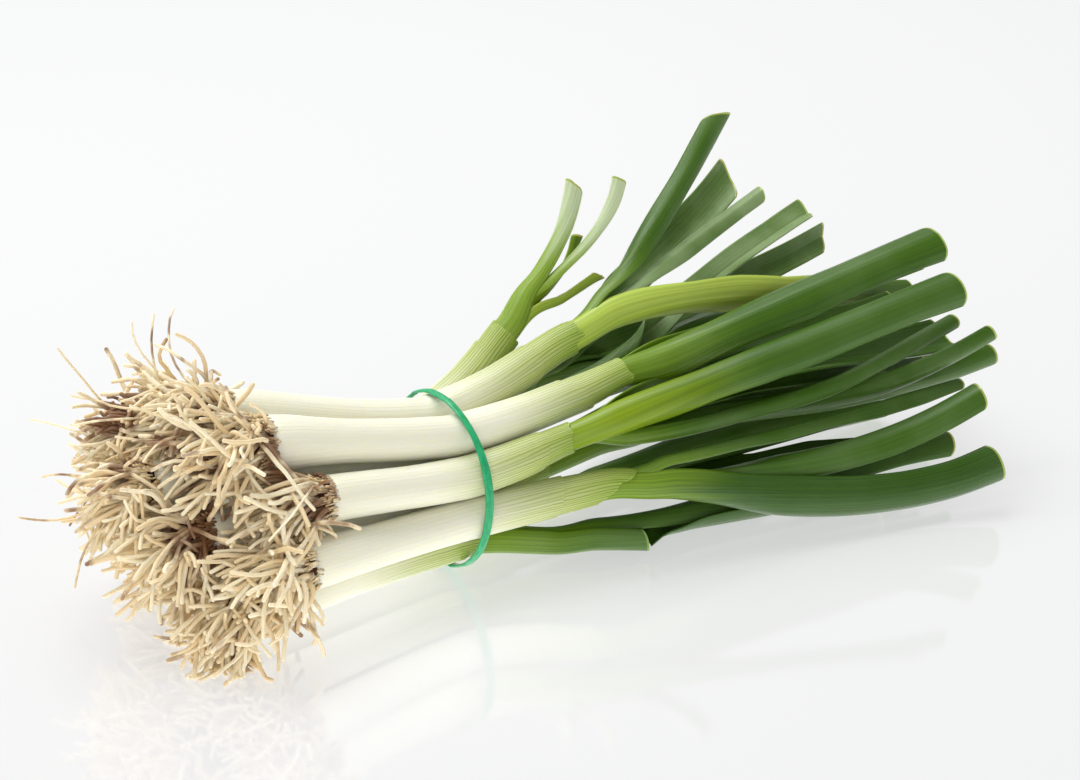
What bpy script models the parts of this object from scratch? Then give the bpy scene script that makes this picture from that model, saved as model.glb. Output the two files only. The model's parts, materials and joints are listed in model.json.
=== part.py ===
"""A bunch of eleven young leeks, tied once with a rubber band and lying on a flat surface.

Each leek is a white shaft, a tuft of roots at its base and a few trimmed leaves at its top.
Nine leeks stand in a ring where the band holds them, and two fill the middle. From there
the root ends and the leaves fan out, and whatever is low enough rests on the surface.

The tables are in millimetres: +X runs from the roots to the leaves, +Y goes to the back,
+Z is up, and the band is at X = 0 with the surface at Z = 0. At the end the whole bunch is
moved so that the origin is at the bottom centre of its box.
"""

import math

import bmesh
import bpy
import numpy as np
from mathutils import Vector

MM = 0.001

# Where the band holds the bunch
BUNCH_CENTRE = np.array([0.0, -2.0, 34.2])
RING_COUNT = 9
RING_RADIUS = 24.0
RING_START_DEG = 63.0
INNER_OFFSET = 8.1
INNER_DEG = 133.0
SHAFT_RADIUS = 7.8
BAND_WIDTH = 3.2
BAND_THICKNESS = 1.4
BAND_GAP = 0.75

# How finely the solids are made
SHAFT_SIDES = 10
SHAFT_RINGS = 10
TUFT_SIDES = 10
LEAF_RINGS = 11
BAND_STATIONS = 60

# Leaves
LEAF_THICKNESS = 2.0
LEAF_DEPTH_SHARE = 0.24
BASE_HALF_WIDTH = 5.2
BASE_DEPTH = 2.6
LAYER_STEP = 2.8
JOINT_GAP = 0.4

# How the pieces are kept apart
CLEARANCE = 0.5
SAMPLE_STEP = 3.6
ACROSS = np.linspace(-0.95, 0.95, 9)
CENTRE_SHARE = 0.6
SEARCH_EVERY = 5
SPREAD_BEND = 0.4
SHAFT_ROUNDS = 40
LEAF_ROUNDS = 160
TUFT_ROUNDS = 30

# name: (place in the ring or "inner", root end, shaft top, radius at the root end,
#        direction in which its leaves are stacked, in degrees from the front)
LEEKS = {
    "leek_01": (0, (-80, -4, 70), (50, -16, 60), 10.6, 63),
    "leek_02": (8, (-65, -22, 50), (34, -27, 49), 8.6, 23),
    "leek_03": (7, (-80, -32, 31), (46, -38, 32), 9.2, -50),
    "leek_04": (6, (-98, -25, 17), (26, -25, 11), 8.8, -57),
    "leek_05": (5, (-85, 2, 14), (50, 2, 10), 8.8, 263),
    "leek_06": (4, (-88, 35, 24), (52, 24, 16), 9.0, 223),
    "leek_07": (3, (-96, 45, 58), (56, 32, 42), 8.8, 120),
    "leek_08": (2, (-86, 30, 69), (46, 20, 76), 8.8, 110),
    "leek_09": (1, (-84, 14, 75), (52, 2, 72), 9.0, 150),
    "leek_10": ("upper", (-113, 18, 53), (60, 8, 48), 9.4, 120),
    "leek_11": ("lower", (-104, -4, 40), (62, -12, 36), 9.0, 0),
}

# (leek, side of the stack, layer in it, tip, width, direction the keel faces at the tip in
#  degrees from the front, direction in which the tip points or None for straight on, sag)
LEAVES = [
    ("leek_01", 1, 0, (217, -30, 92), 18, 60, None, 0),
    ("leek_01", -1, 0, (226, -6, 72), 15, 250, None, 0),
    ("leek_01", -1, 1, (222, 2, 56), 13, 250, None, 0),
    ("leek_02", 1, 1, (213, -48, 79), 16, 50, None, 0),
    ("leek_02", 1, 0, (223, -36, 58), 7, 50, None, 8),
    ("leek_02", -1, 0, (229, -30, 45), 21, 255, None, 0),
    ("leek_02", -1, 1, (224, -16, 36), 14, 230, None, 0),
    ("leek_03", 1, 0, (203, -88, 19), 18, 5, (1, -0.3, 0.1), 8),
    ("leek_03", -1, 0, (203, -74, 45), 13, 60, (1, -0.25, 0.3), 8),
    ("leek_03", -1, 1, (214, -50, 38), 10, 90, None, 2),
    ("leek_04", 1, 0, (64, -47, 6), 12, 10, None, 0),
    ("leek_04", -1, 0, (168, -58, 5), 16, -70, None, 0),
    ("leek_04", -1, 1, (206, -56, 17), 12, 60, None, 0),
    ("leek_05", 1, 0, (215, -30, 3), 18, 270, None, 0),
    ("leek_05", -1, 0, (222, 6, 2), 16, 270, None, 0),
    ("leek_05", -1, 1, (205, -10, 23), 16, 45, None, 0),
    ("leek_06", 1, 0, (208, 46, 0), 18, 250, None, 0),
    ("leek_06", 1, 1, (188, 72, 2), 16, 220, None, 0),
    ("leek_06", -1, 0, (214, 28, 20), 12, 90, None, 0),
    ("leek_07", 1, 1, (174, 45, 108), 16, 230, (1, 0.2, 0.75), 0),
    ("leek_07", 1, 0, (229, 52, 66), 13, 200, None, 4),
    ("leek_07", -1, 0, (174, 62, 56), 14, 180, None, 0),
    ("leek_07", -1, 1, (204, 84, 30), 17, 190, None, 0),
    ("leek_08", 1, 1, (88, 36, 123), 8, 50, (0.3, 0.15, 1), 0),
    ("leek_08", 1, 0, (101, 25, 124), 6, 60, (0.3, 0.1, 1), 0),
    ("leek_08", -1, 0, (93, 40, 98), 6, 60, (0.5, 0.2, 1), 0),
    ("leek_08", -1, 1, (94, 24, 87), 7, 70, None, 0),
    ("leek_09", 1, 1, (156, 32, 141), 9.5, 50, (1, 0.1, 1.3), 0),
    ("leek_09", 1, 0, (169, 20, 107), 8, 60, (1, 0.1, 0.35), 0),
    ("leek_09", -1, 0, (238, 6, 49), 17, 350, (1, 0.05, -0.2), 0),
    ("leek_10", 1, 0, (199, 27, 90), 13, 262, (1, 0.1, 0.2), 0),
    ("leek_10", -1, 0, (236, 20, 48), 16, 350, None, 0),
    ("leek_10", -1, 1, (224, 40, 36), 14, 330, None, 0),
    ("leek_11", 1, 1, (229, -52, 56), 9, 0, (1, -0.2, 0.4), 0),
    ("leek_11", 1, 0, (238, -44, 42), 11, 0, (1, -0.2, 0.25), 0),
    ("leek_11", -1, 0, (240, -10, 27), 16, 200, None, 0),
    ("leek_11", -1, 1, (226, 4, 27), 14, 200, None, 0),
]

TUFT_LENGTH = 31.0
TUFT_RADII = (7.2, 10.5, 11.0, 7.0)
TUFT_DROOP = {
    "leek_04": (0.1, -0.35, -0.4),
    "leek_05": (0.0, 0.0, -0.27),
    "leek_06": (0.0, 0.2, -0.64),
    "leek_10": (0.0, 0.0, -0.3),
}

SHAFT_COLOUR = (0.83, 0.85, 0.67)
ROOT_COLOUR = (0.68, 0.55, 0.33)
LEAF_COLOUR = (0.12, 0.26, 0.05)
BAND_COLOUR = (0.02, 0.42, 0.19)


def unit(vector):
    return vector / np.linalg.norm(vector)


def across_bunch(degrees):
    """A direction across the bunch: 0 is to the front, 90 is up."""
    angle = math.radians(degrees)
    return np.array([0.0, -math.cos(angle), math.sin(angle)])


def flat_against(vector, tangent):
    """The part of a vector that is square to the tangent, made unit length."""
    return unit(vector - (vector @ tangent) * tangent)


def place_in_band(seat):
    if seat == "upper":
        return BUNCH_CENTRE + INNER_OFFSET * across_bunch(INNER_DEG)
    if seat == "lower":
        return BUNCH_CENTRE - INNER_OFFSET * across_bunch(INNER_DEG)
    return BUNCH_CENTRE + RING_RADIUS * across_bunch(
        RING_START_DEG + seat * 360 / RING_COUNT
    )


def hermite(start, start_way, end, end_way, share):
    """A point on the smooth curve that leaves start along start_way and reaches end along end_way."""
    s2, s3 = share**2, share**3
    return (
        (2 * s3 - 3 * s2 + 1) * start
        + (s3 - 2 * s2 + share) * start_way
        + (3 * s2 - 2 * s3) * end
        + (s3 - s2) * end_way
    )


class Strand:
    """A shaft, leaf or tuft: points along its middle with a round or a wide flat section."""

    def __init__(self, points, reach, free, halves=None, keels=None, start_way=None):
        self.points = np.array(points, float)
        self.rest = self.points.copy()
        length = np.linalg.norm(np.diff(self.points, axis=0), axis=1).sum()
        self.sections = max(2, int(length / SAMPLE_STEP) + 1)
        self.reach = np.array(reach, float)
        self.halves = halves
        self.keels = keels
        self.free = np.array(free, float)
        self.start_way = start_way
        self.shaft = None

    def tangents(self):
        ways = np.array([unit(t) for t in np.gradient(self.points, axis=0)])
        if self.start_way is not None:
            ways[0] = self.start_way
        return ways

    def frames(self):
        """(tangent, keel, side) at each point."""
        tangents = self.tangents()
        keels = np.array([flat_against(k, t) for k, t in zip(self.keels, tangents)])
        return tangents, keels, np.cross(keels, tangents)

    def hang(self):
        """How far the strand reaches below each of its points."""
        tangents = self.tangents()
        if self.halves is None:
            return self.reach * np.sqrt(1 - tangents[:, 2] ** 2)
        _, keels, sides = self.frames()
        depths = depth_of(self.halves)
        return (
            self.reach
            + self.halves * np.abs(sides[:, 2])
            + 0.5 * depths * np.abs(keels[:, 2])
        )

    def samples(self):
        """Sections along the strand: (middles, balls across each, ball radii, nearest points)."""
        lengths = np.linalg.norm(np.diff(self.points, axis=0), axis=1)
        along = np.concatenate([[0], np.cumsum(lengths)])
        at = np.linspace(0, along[-1], self.sections)
        nearest = np.rint(np.interp(at, along, np.arange(len(along)))).astype(int)

        def spread(values):
            return np.stack([np.interp(at, along, column) for column in values.T], 1)

        middles = spread(self.points)
        reach = np.interp(at, along, self.reach)
        if self.halves is None:
            return middles, np.repeat(middles[:, None], len(ACROSS), 1), reach, nearest
        _, keels, sides = self.frames()
        keel_way = spread(keels * depth_of(self.halves)[:, None])
        side_way = spread(sides * self.halves[:, None])
        balls = [middles + side_way * x + keel_way * (0.5 - x**2) for x in ACROSS]
        return middles, np.stack(balls, 1), reach, nearest


def smooth_step(values):
    clipped = np.clip(values, 0, 1)
    return clipped * clipped * (3 - 2 * clipped)


def depth_of(halves):
    """How deep the channel of a leaf is for its half width."""
    return np.maximum(BASE_DEPTH, 2 * LEAF_DEPTH_SHARE * np.asarray(halves))


def close_sections(middles, reach, owner, shafts):
    """Pairs of sections near enough to touch, but for those of a strand with itself or its shaft."""
    near = []
    for number in range(len(middles)):
        gap = np.linalg.norm(middles[number + 1 :] - middles[number], axis=1)
        found = np.flatnonzero(gap < reach[number + 1 :] + reach[number]) + number + 1
        mine, theirs = owner[number], owner[found]
        kin = (theirs == mine) | (theirs == shafts[mine]) | (shafts[theirs] == mine)
        found = found[~kin]
        near.append(np.stack([np.full(len(found), number), found], 1))
    return np.concatenate(near)


def pushes_between(pairs, middles, balls, radii):
    """How far each pair of sections has to part, as a vector for the first of each pair."""
    first, second = pairs.T
    apart = balls[first][:, :, None] - balls[second][:, None]
    distances = np.linalg.norm(apart, axis=3).reshape(len(pairs), -1)
    closest = distances.argmin(1)
    rows = np.arange(len(pairs))
    nearest = distances[rows, closest]
    way = apart.reshape(len(pairs), -1, 3)[rows, closest] / np.maximum(nearest, 0.2)[:, None]
    centres = middles[first] - middles[second]
    centres /= np.linalg.norm(centres, axis=1)[:, None] + 0.1
    way = way + CENTRE_SHARE * centres
    way /= np.linalg.norm(way, axis=1)[:, None] + 1e-6
    overlap = radii[first] + radii[second] + CLEARANCE - nearest
    return way * np.maximum(overlap, 0)[:, None]


def settle(moving, fixed, rounds):
    """Moves the free points of strands apart until they clear each other and the surface."""
    strands = moving + fixed
    shafts = np.array([strands.index(s.shaft) if s.shaft else -1 for s in strands])
    for turn in range(rounds):
        parts = [strand.samples() for strand in strands]
        middles, balls, radii, nearest = (np.concatenate(kind) for kind in zip(*parts))
        owner = np.repeat(np.arange(len(parts)), [len(part[0]) for part in parts])
        if turn % SEARCH_EVERY == 0:
            wide = np.linalg.norm(balls - middles[:, None], axis=2).max(1)
            reach = wide + radii + CLEARANCE + 1.0
            pairs = close_sections(middles, reach, owner, shafts)
        push = pushes_between(pairs, middles, balls, radii)
        total, hits = np.zeros((len(middles), 3)), np.zeros(len(middles))
        held = (owner >= len(moving)).astype(float)
        for mine, others, sign in ((0, 1, 1), (1, 0, -1)):
            share = 0.5 + 0.5 * held[pairs[:, others]]
            np.add.at(total, pairs[:, mine], sign * push * share[:, None])
            np.add.at(hits, pairs[:, mine], np.abs(push).sum(1) > 0)
        total /= np.maximum(hits, 1)[:, None]
        for number, strand in enumerate(moving):
            mine = owner == number
            step, count = np.zeros((len(strand.points), 3)), np.zeros(len(strand.points))
            np.add.at(step, nearest[mine], total[mine])
            np.add.at(count, nearest[mine], hits[mine] > 0)
            step /= np.maximum(count, 1)[:, None]
            tangents = strand.tangents()
            step -= (step * tangents).sum(1)[:, None] * tangents
            padded = np.concatenate([step[:1], step, step[-1:]])
            smooth = 0.25 * padded[:-2] + 0.5 * padded[1:-1] + 0.25 * padded[2:]
            shift = strand.points + smooth * strand.free[:, None] - strand.rest
            bend = SPREAD_BEND * (1 - turn / rounds)
            shift[1:-1] += bend * (0.5 * (shift[:-2] + shift[2:]) - shift[1:-1])
            strand.points = strand.rest + shift * np.sign(strand.free)[:, None]
            sunk = np.maximum(strand.hang() - strand.points[:, 2], 0)
            strand.points[:, 2] += sunk * np.sign(strand.free)


def shaft_strand(seat, root_end, top, root_radius):
    """The middle of one shaft, from its root end through the band to where its leaves part."""
    root_end, top = np.array(root_end, float), np.array(top, float)
    held = place_in_band(seat)
    way_held = unit(top - root_end)
    way_root = unit(unit(held - root_end) + 0.25 * np.array([1.0, 0, 0]))
    way_top = unit(top - held)
    lower = np.linalg.norm(held - root_end)
    upper = np.linalg.norm(top - held)
    points, radii, free = [], [], []
    upper_rings = 3
    lower_rings = SHAFT_RINGS - upper_rings
    for step in range(lower_rings):
        share = step / lower_rings
        points.append(hermite(root_end, way_root * lower, held, way_held * lower, share))
        bulb = math.exp(-((share / 0.28) ** 2))
        radii.append(SHAFT_RADIUS + (root_radius - SHAFT_RADIUS) * bulb)
        free.append(1 - share**4)
    for step in range(upper_rings):
        share = step / (upper_rings - 1)
        points.append(hermite(held, way_held * upper, top, way_top * upper, share))
        radii.append(SHAFT_RADIUS - 0.5 * share)
        free.append(share)
    return Strand(points, radii, free)


def leaf_strand(shaft, stack_way, side, layer, tip, width, keel_deg, tip_way, sag):
    """The middle of one leaf, from its place in the stack on the shaft's top to its cut tip."""
    tip = np.array(tip, float)
    start_way = shaft.tangents()[-1]
    stack = flat_against(stack_way, start_way) * side
    offset = (LEAF_THICKNESS + CLEARANCE + BASE_DEPTH) / 2 + layer * LAYER_STEP
    start = shaft.points[-1] + start_way * JOINT_GAP + stack * offset
    chord = tip - start
    length = np.linalg.norm(chord)
    end_way = unit(chord if tip_way is None else np.array(tip_way, float))
    shares = np.linspace(0, 1, LEAF_RINGS) ** 1.15
    points = [
        hermite(start, start_way * length, tip, end_way * length, share)
        for share in shares
    ]
    for point, share in zip(points, shares):
        point[2] -= 4 * sag * share * (1 - share)
    base_half = min(BASE_HALF_WIDTH, 0.45 * width)
    halves = base_half + (width / 2 - base_half) * (1 - (1 - shares) ** 3)
    halves = halves * (1 - 0.06 * shares)
    tip_keel = across_bunch(keel_deg)
    turned = smooth_step((shares * length - 10.0) / 75.0)[:, None]
    keels = (1 - turned) * stack + turned * tip_keel
    free = np.clip((shares * length - 4.0) / 14.0, 0, 1)
    reach = np.full(LEAF_RINGS, LEAF_THICKNESS / 2)
    leaf = Strand(points, reach, free, halves, keels, start_way)
    leaf.shaft = shaft
    return leaf


def tuft_strand(name, shaft):
    """The middle of one root tuft, which carries on from the shaft's root end."""
    away = -shaft.tangents()[0]
    droop = np.array(TUFT_DROOP.get(name, (0, 0, 0)), float)
    start = shaft.points[0] + away * JOINT_GAP * 2
    steps = np.linspace(0, 1, len(TUFT_RADII))
    points = [
        start + TUFT_LENGTH * (away * step + droop * step**1.5) for step in steps
    ]
    tuft = Strand(points, TUFT_RADII, steps**0.5, start_way=away)
    tuft.shaft = shaft
    return tuft


def skin_through(rings, joined=False):
    """A closed mesh through rings of points, with flat ends or with its last ring joined to its first."""
    skin = bmesh.new()
    loops = [[skin.verts.new(Vector(p) * MM) for p in ring] for ring in rings]
    for first, second in zip(loops, loops[1:] + loops[:joined]):
        for corner in range(len(first)):
            after = (corner + 1) % len(first)
            skin.faces.new(
                (first[corner], first[after], second[after], second[corner])
            )
    if not joined:
        skin.faces.new(list(reversed(loops[0])))
        skin.faces.new(loops[-1])
    bmesh.ops.recalc_face_normals(skin, faces=skin.faces)
    bmesh.ops.triangulate(skin, faces=skin.faces)
    return skin


def round_rings(strand, sides):
    """Rings of a round strand, each square to its middle."""
    tangents = strand.tangents()
    across = flat_against(np.array([0.0, 0.0, 1.0]), tangents[0])
    rings = []
    for point, radius, tangent in zip(strand.points, strand.reach, tangents):
        across = flat_against(across, tangent)
        other = np.cross(tangent, across)
        turns = [2 * math.pi * (k + 0.5) / sides for k in range(sides)]
        rings.append(
            [point + radius * (math.cos(t) * across + math.sin(t) * other) for t in turns]
        )
    return rings


def leaf_rings(strand):
    """Rings of a leaf: a channel with its keel outwards and a wall of one thickness."""
    _, keels, sides = strand.frames()
    outer = (-1.0, -0.6, 0.0, 0.6, 1.0)
    inner = (0.74, 0.0, -0.74)
    rings = []
    for point, half, keel, side in zip(strand.points, strand.halves, keels, sides):
        depth = depth_of(half)
        wall = [(x, LEAF_THICKNESS / 2) for x in outer]
        wall += [(x, -LEAF_THICKNESS / 2) for x in inner]
        rings.append(
            [
                point + side * half * x + keel * (depth * (0.5 - x * x) + out)
                for x, out in wall
            ]
        )
    return rings


def band_rings():
    """Rings of the rubber band, a flat strip pulled tight round the outer leeks."""
    seats = [place_in_band(seat) for seat in range(RING_COUNT)]
    stretch = SHAFT_RADIUS + BAND_GAP
    rings = []
    for station in range(BAND_STATIONS):
        way = across_bunch(360 * station / BAND_STATIONS)
        seat = max(seats, key=lambda centre: centre @ way)
        inside = seat + way * stretch
        outside = seat + way * (stretch + BAND_THICKNESS)
        half = np.array([BAND_WIDTH / 2, 0, 0])
        middle = seat + way * (stretch + BAND_THICKNESS / 2)
        rings.append(
            [
                inside - half * 0.8,
                middle - half,
                outside - half * 0.8,
                outside + half * 0.8,
                middle + half,
                inside + half * 0.8,
            ]
        )
    return rings


def material(name, colour, roughness):
    made = bpy.data.materials.new(name)
    made.use_nodes = True
    shader = made.node_tree.nodes["Principled BSDF"]
    shader.inputs["Base Color"].default_value = (*colour, 1)
    shader.inputs["Roughness"].default_value = roughness
    shader.inputs["Metallic"].default_value = 0.0
    return made


def add_object(name, skin, look):
    mesh = bpy.data.meshes.new(name)
    skin.to_mesh(mesh)
    skin.free()
    mesh.materials.append(look)
    mesh.shade_smooth()
    made = bpy.data.objects.new(name, mesh)
    bpy.context.scene.collection.objects.link(made)
    return made


def stand_on_origin(objects):
    """Parents the pieces to one empty, which puts the origin at the bottom centre of their box."""
    corners = np.array(
        [vertex.co for piece in objects for vertex in piece.data.vertices]
    )
    low, high = corners.min(0), corners.max(0)
    bunch = bpy.data.objects.new("bunch", None)
    bunch.location = (-(low[0] + high[0]) / 2, -(low[1] + high[1]) / 2, -low[2])
    bpy.context.scene.collection.objects.link(bunch)
    for piece in objects:
        piece.parent = bunch


def main():
    for existing in list(bpy.data.objects):
        bpy.data.objects.remove(existing)
    shaft_look = material("shaft", SHAFT_COLOUR, 0.35)
    root_look = material("roots", ROOT_COLOUR, 0.8)
    leaf_look = material("leaf", LEAF_COLOUR, 0.4)
    band_look = material("rubber", BAND_COLOUR, 0.45)

    shafts = {
        name: shaft_strand(seat, root_end, top, root_radius)
        for name, (seat, root_end, top, root_radius, _) in LEEKS.items()
    }
    settle(list(shafts.values()), [], SHAFT_ROUNDS)

    tufts = {name: tuft_strand(name, shafts[name]) for name in LEEKS}
    settle(list(tufts.values()), list(shafts.values()), TUFT_ROUNDS)

    leaves = []
    for leek, *route in LEAVES:
        leaves.append(leaf_strand(shafts[leek], across_bunch(LEEKS[leek][4]), *route))
    settle(leaves, list(shafts.values()), LEAF_ROUNDS)

    made = []
    for name in LEEKS:
        shaft = skin_through(round_rings(shafts[name], SHAFT_SIDES))
        made.append(add_object(f"{name}_shaft", shaft, shaft_look))
        tuft = skin_through(round_rings(tufts[name], TUFT_SIDES))
        made.append(add_object(f"{name}_roots", tuft, root_look))
    counts = dict.fromkeys(LEEKS, 0)
    for (leek, *_), strand in zip(LEAVES, leaves):
        counts[leek] += 1
        leaf = skin_through(leaf_rings(strand))
        made.append(add_object(f"{leek}_leaf_{counts[leek]}", leaf, leaf_look))
    made.append(add_object("rubber_band", skin_through(band_rings(), joined=True), band_look))
    stand_on_origin(made)


main()
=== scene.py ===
"""The looks of a bunch of young leeks: veined leaves, white shafts, tangled roots and a rubber band.

Each piece is grown on the solid that it stands for. The rings of corners of that solid give its
middle line, its width and the way it faces, and the fine shape is built round them.
"""

import json
import math
from typing import NamedTuple

import bpy
import numpy as np
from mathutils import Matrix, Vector

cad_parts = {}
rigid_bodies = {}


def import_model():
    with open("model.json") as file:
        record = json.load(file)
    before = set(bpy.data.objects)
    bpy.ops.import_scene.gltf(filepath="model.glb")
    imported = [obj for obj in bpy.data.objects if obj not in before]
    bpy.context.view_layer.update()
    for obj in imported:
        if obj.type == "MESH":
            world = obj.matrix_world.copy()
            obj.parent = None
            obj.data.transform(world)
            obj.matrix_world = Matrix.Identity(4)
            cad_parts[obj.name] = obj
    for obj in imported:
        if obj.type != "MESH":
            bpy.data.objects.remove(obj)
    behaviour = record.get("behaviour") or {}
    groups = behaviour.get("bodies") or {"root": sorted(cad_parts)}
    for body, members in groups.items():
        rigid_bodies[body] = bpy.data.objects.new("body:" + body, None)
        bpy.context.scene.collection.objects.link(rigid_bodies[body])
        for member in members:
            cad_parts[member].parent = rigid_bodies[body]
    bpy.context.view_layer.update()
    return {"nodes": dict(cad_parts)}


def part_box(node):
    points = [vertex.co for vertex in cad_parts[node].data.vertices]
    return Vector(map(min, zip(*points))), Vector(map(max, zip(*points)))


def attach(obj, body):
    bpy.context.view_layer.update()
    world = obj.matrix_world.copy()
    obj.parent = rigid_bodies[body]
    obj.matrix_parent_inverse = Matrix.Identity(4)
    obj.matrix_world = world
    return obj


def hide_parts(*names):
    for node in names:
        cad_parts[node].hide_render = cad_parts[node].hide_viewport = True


MM = 0.001

# Corners in one ring of each kind of solid
SHAFT_CORNERS = 10
TUFT_CORNERS = 10
LEAF_CORNERS = 8

# Fine meshes
SHAFT_ROWS = 80
SHEATH_ROWS = 24
SHEATH_INSIDE_ROWS = 4
SHAFT_COLUMNS = 48
LEAF_ROWS = 64
LEAF_ARC = np.linspace(-1, 1, 19)
ROOT_SIDES = 7
ROOT_STEPS = 9
CORE_SIDES = 20
BAND_ROWS = 240
BAND_SIDES = 16

# Shafts
SHAFT_CLOSES_OVER = 4 * MM
SHAFT_UNEVENNESS = 0.012
OUTER_TEETH = 0.2 * MM
INNER_LAYER_DEPTH = 0.6 * MM
LAYERS_OVERLAP = 2 * MM
NARROWS_OVER = 22 * MM
FOLLOWS_LEAF_AFTER = 28 * MM

# Leaves
BLADE_WRAP_DEG = 66.0
LEAD_WRAP_DEG = 125.0
NESTED_WRAP_DEG = 96.0
UNROLLS_OVER = 70 * MM
LEAVES_SHEATH_OVER = 24 * MM
LEAD_SHARE, OUTER_SHARE, INNER_SHARE = 0.95, 0.82, 0.68
OUTER_LEAF_OFFSET = 4 * MM
LEAF_WALL = 1.4 * MM
LEAF_THICKENS_OVER = 30 * MM
SHEATH_WALL = 0.5 * MM
TUCKED_IN = 8 * MM
RIM_LENGTH = 0.8 * MM
RUFFLE = 0.9 * MM
CORNER_ROUNDING = 0.32

# Each leek's sheath, in millimetres past the top of its solid shaft: where the outer layer ends
# and how far it slants, where the inner sheath ends and how far it slants, the side on which
# both are longest in degrees from above towards the front, how much the inner sheath narrows,
# how ragged it is, and the leaf that it leads into.
SHEATHS = {
    "leek_01": (0, 5.0, 22, 0.8, 140, 0.86, 0.6, 1),
    "leek_02": (-8, 3.0, 5, 1.6, 40, 0.88, 1.0, 1),
    "leek_03": (-16, 3.0, 5, 8.0, 10, 0.93, 1.0, 1),
    "leek_04": (-30, 3.0, -22, 1.5, 90, 0.95, 0.6, 1),
    "leek_05": (-30, 2.0, -20, 1.5, 90, 0.9, 0.6, 1),
    "leek_06": (-30, 2.0, -20, 1.5, 90, 0.9, 0.6, 1),
    "leek_07": (-24, 2.0, -12, 1.5, 90, 0.9, 0.6, 1),
    "leek_08": (-12, 2.0, -2, 1.0, 270, 0.98, 0.5, 1),
    "leek_09": (-10, 2.5, 8, 3.0, 60, 0.98, 2.0, 3),
    "leek_10": (-30, 2.0, -20, 1.5, 90, 0.9, 0.6, 1),
    "leek_11": (-34, 2.0, -24, 1.5, 90, 0.9, 0.6, 1),
}

# How far a leaf is folded at its keel, from round to sharp, and how much its cut slants
USUAL_FOLD = (0.15, 0.12)
FOLDED = {
    "leek_07_leaf_1": (0.1, 0.6),
    "leek_07_leaf_2": (0.5, 0.4),
    "leek_08_leaf_1": (0.5, 0.5),
    "leek_08_leaf_4": (0.5, 0.8),
    "leek_09_leaf_1": (0.4, -0.9),
    "leek_09_leaf_2": (0.5, 0.5),
    "leek_10_leaf_1": (0.9, 0.4),
    "leek_03_leaf_2": (0.4, 0.1),
    "leek_02_leaf_3": (0.3, 0.2),
    "leek_04_leaf_1": (0.0, 0.15),
}

# Roots
ROOTS_PER_LEEK = 145
ROOT_RADIUS = 0.86 * MM
SHORTEST_ROOT = 14 * MM
LONGEST_ROOT = 31 * MM
LONG_ROOTED = {
    "leek_01": 42 * MM,
    "leek_02": 46 * MM,
    "leek_03": 38 * MM,
    "leek_05": 42 * MM,
    "leek_11": 38 * MM,
}
STRAY_ROOTS = {"leek_01": 4, "leek_07": 4, "leek_08": 5, "leek_09": 5, "leek_10": 3, "leek_02": 2}
STRAY_LENGTHS_MM = (38, 52)
STRAY_THINNESS = 0.55
TUFT_SPREADS_OVER = 13 * MM
ROOTS_SAG = 0.11
STUBS_PER_LEEK = 320
STUB_RING_MM = (-1.5, 6.0)
STUB_LENGTHS_MM = (1.8, 4.4)
STUB_RADII_MM = (0.25, 0.5)
CORE_SUNK = 3 * MM
CORE_LENGTH = 14 * MM
CORE_LUMPS = 0.45 * MM

# Rubber band
BAND_HALF_WIDTH = 1.65 * MM
BAND_HALF_THICKNESS = 0.62 * MM
BAND_EVENED_DEG = 4.0

# Skin of a leek: where each colour along it starts and is full, in decimetres past its sheath
GROWTH_COLOURS = ("White", "Pale", "Young", "Green")
GROWTH_STOPS = ("Pale from", "Pale by", "Young from", "Young by", "Green from", "Green by")
WHITE, PALE = (234, 232, 212), (198, 206, 134)
PALE_STOPS = (-0.9, -0.3)
SHEATH_STOPS = (-0.6, -0.05, -0.16, 0.05, 0.3, 0.9)

# Looks of leaves: young colour, full-grown colour, where each starts and is full, number of
# ribs, how dark and how deep they are, waxy bloom, roughness, and how much light goes through
LEAF_SKINS = {
    "green": ((116, 148, 20), (66, 104, 12), (-0.25, -0.05, 0.0, 0.6), 16, 0.2, 0.16, 0.12, 0.34, 0.08),
    "young": ((138, 162, 22), (62, 100, 8), (-0.2, 0.0, 0.1, 0.9), 14, 0.1, 0.1, 0.08, 0.34, 0.08),
    "yellow": ((186, 205, 84), (76, 112, 22), (-0.2, 0.0, 1.0, 1.6), 14, 0.12, 0.1, 0.08, 0.36, 0.08),
    "dark": ((124, 154, 28), (52, 90, 8), (-0.2, 0.0, 0.05, 0.5), 16, 0.3, 0.2, 0.05, 0.32, 0.08),
    "pale tip": ((140, 168, 52), (204, 214, 186), (-0.2, 0.05, 0.25, 0.6), 12, 0.2, 0.16, 0.1, 0.4, 0.4),
    "waxy": ((118, 150, 50), (92, 124, 52), (-0.2, 0.0, 0.0, 0.5), 12, 0.2, 0.16, 0.6, 0.45, 0.08),
}
USUAL_LOOK = "green"
LEAF_LOOKS = {
    "leek_02_leaf_1": "young",
    "leek_03_leaf_1": "dark",
    "leek_04_leaf_2": "dark",
    "leek_05_leaf_1": "dark",
    "leek_07_leaf_1": "waxy",
    "leek_07_leaf_2": "waxy",
    "leek_08_leaf_1": "pale tip",
    "leek_08_leaf_2": "pale tip",
    "leek_08_leaf_3": "young",
    "leek_08_leaf_4": "yellow",
    "leek_09_leaf_2": "waxy",
    "leek_09_leaf_3": "yellow",
    "leek_10_leaf_1": "waxy",
}

# Table top: its half side, and the light that it sends to the bunch and to the camera
FLOOR_REACH = 6.0
FLOOR_BOUNCE = 1.15
FLOOR_GLOW = 0.56

# Studio light, and each softbox: its place, its size and its power in watts
STUDIO_LIGHT = 0.46
SOFTBOXES = {
    "top softbox": ((-0.1, 0.55, 1.2), (1.4, 0.8), 20),
    "front softbox": ((-0.75, -1.05, 0.4), (0.9, 0.7), 4),
}
SOFTBOX_AIM = Vector((0, 0, 0.04))

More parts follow.
